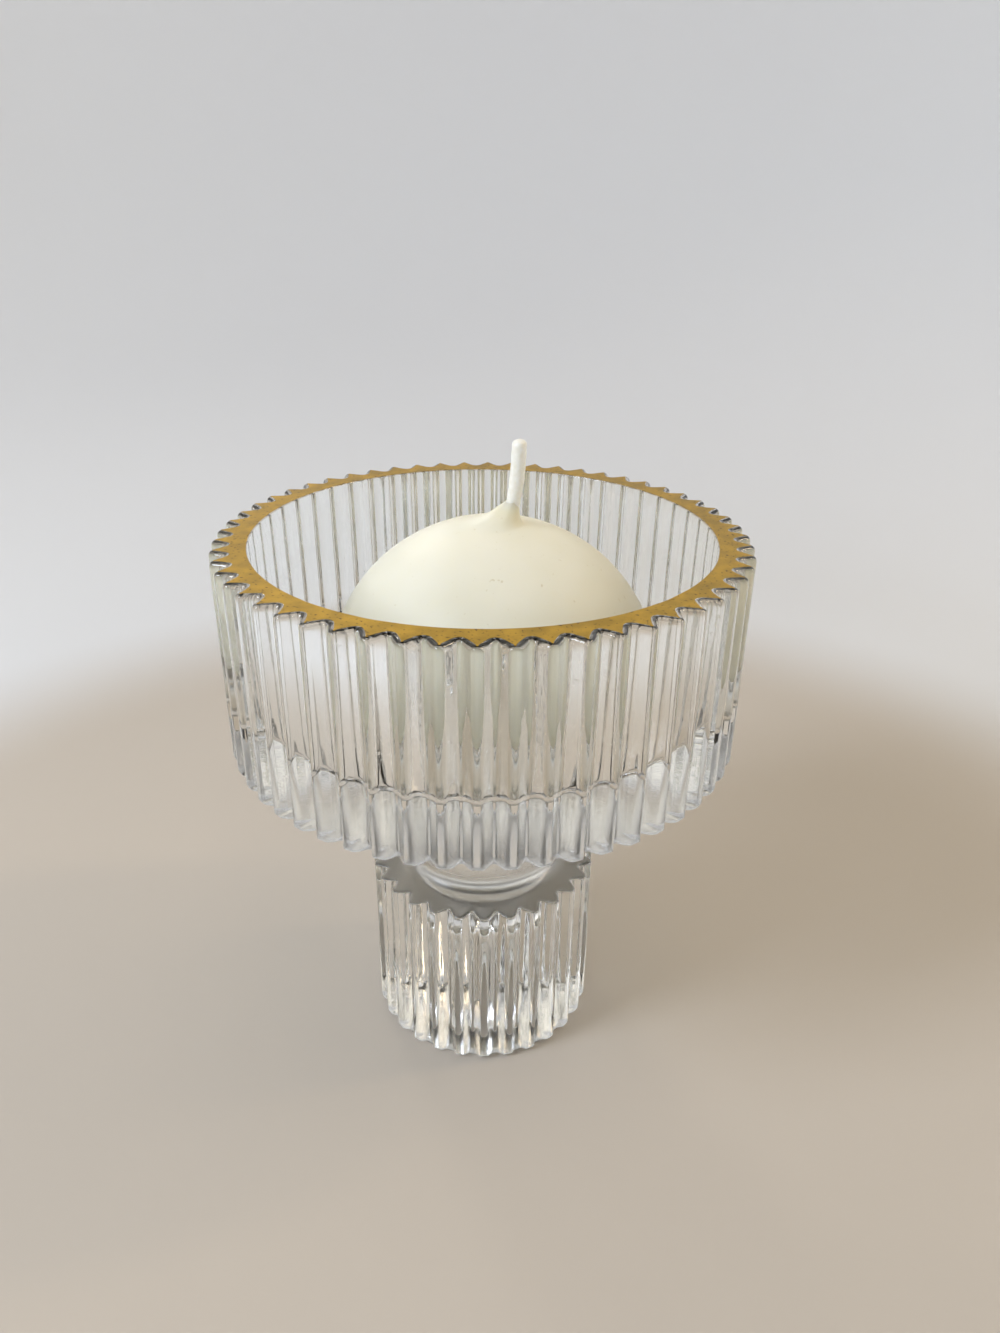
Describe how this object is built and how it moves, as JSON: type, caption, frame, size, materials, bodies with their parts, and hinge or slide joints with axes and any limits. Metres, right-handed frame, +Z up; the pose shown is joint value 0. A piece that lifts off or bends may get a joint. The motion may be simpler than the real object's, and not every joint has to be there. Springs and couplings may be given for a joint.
{
  "type": "candle holder",
  "caption": "Ribbed pressed-glass candle holder with a gilt rim: a round cup with a domed candle on a smooth neck and a ribbed foot, with a taper socket below.",
  "frame": {"origin": "centre of the pedestal's base, on the surface the holder stands on", "axes": "+Z up along the holder's axis, -Y towards the front, +X to the right"},
  "size_m": [0.1, 0.1, 0.1288],
  "materials": {
    "cup_glass": "clear fire-polished pressed glass, sharp grooves between rounded ribs",
    "pedestal_glass": "clear fire-polished pressed glass",
    "gold_lustre": "thin fired gold lustre, satin with fine specks",
    "ivory_wax": "smooth ivory candle wax, soft sheen, light scuffs",
    "waxed_cotton": "braided cotton dipped in wax",
    "tinplate": "thin tinned steel"
  },
  "bodies": {
    "holder": {"glass_cup": "cup_glass", "glass_pedestal": "pedestal_glass", "gilt_rim": "gold_lustre"},
    "candle": {"candle_wax": "ivory_wax", "wick": "waxed_cotton", "wick_sustainer": "tinplate"}
  },
  "joints": [
    {"name": "candle_lift", "type": "slide", "parent": "holder", "child": "candle", "axis": [0, 0, 1], "range_m": [0, 0.045]}
  ]
}
